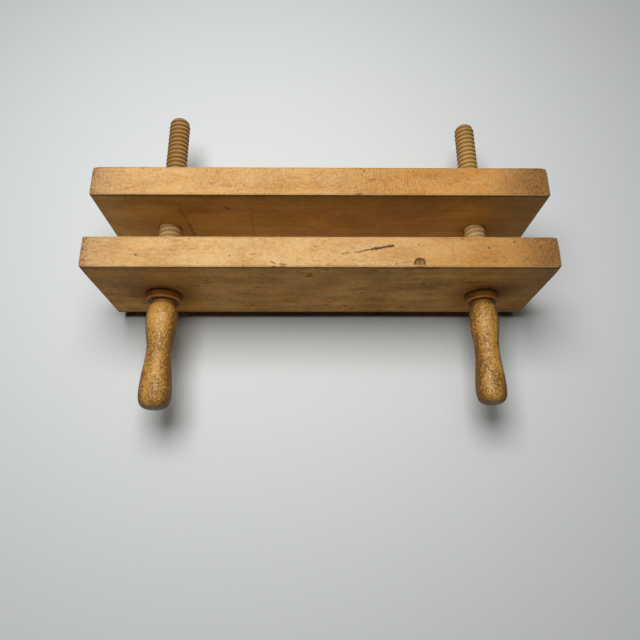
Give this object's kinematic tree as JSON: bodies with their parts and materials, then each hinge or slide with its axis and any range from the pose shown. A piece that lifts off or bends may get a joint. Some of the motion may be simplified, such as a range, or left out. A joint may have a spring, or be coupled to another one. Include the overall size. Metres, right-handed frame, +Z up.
{
  "type": "bookbinding finishing press",
  "caption": "Wooden finishing press: parallel hardwood cheeks drawn together by threaded wooden screws with turned handles, to hold a book while its spine is worked.",
  "frame": {"origin": "on the surface that the cheeks stand on, in the middle of the press's overall width and depth", "axes": "+X along the cheeks, +Y from the handles towards the screw tips, +Z up"},
  "size_m": [0.457, 0.3452, 0.14],
  "materials": {
    "cheek_wood": "old oiled maple, worn and scratched",
    "screw_wood": "bare turned maple, waxed by use",
    "grip_wood": "old varnish, glossy and flecked with grime",
    "peg_wood": "bare end grain, trimmed flush"
  },
  "bodies": {
    "rear_jaw": {"rear_cheek": "cheek_wood"},
    "front_jaw": {"front_cheek": "cheek_wood", "left_garter_peg": "peg_wood", "right_garter_peg": "peg_wood"},
    "left_spindle": {"left_screw": "screw_wood", "left_grip": "grip_wood"},
    "right_spindle": {"right_screw": "screw_wood", "right_grip": "grip_wood"}
  },
  "joints": [
    {"name": "jaw_slide", "type": "slide", "parent": "rear_jaw", "child": "front_jaw", "axis": [0, 1, 0], "range_m": [-0.106, 0.0463]},
    {"name": "left_screw_turn", "type": "hinge", "parent": "front_jaw", "child": "left_spindle", "pos_m": [-0.1645, 0, 0.07], "axis": [0, 1, 0], "range_deg": [-6939, 3031]},
    {"name": "right_screw_turn", "type": "hinge", "parent": "front_jaw", "child": "right_spindle", "pos_m": [0.1705, 0, 0.07], "axis": [0, 1, 0], "range_deg": [-6939, 3031]}
  ],
  "couplings": [
    {"joint": "left_screw_turn", "follows": "jaw_slide", "rad_per_m": 1142.4},
    {"joint": "right_screw_turn", "follows": "jaw_slide", "rad_per_m": 1142.4}
  ]
}
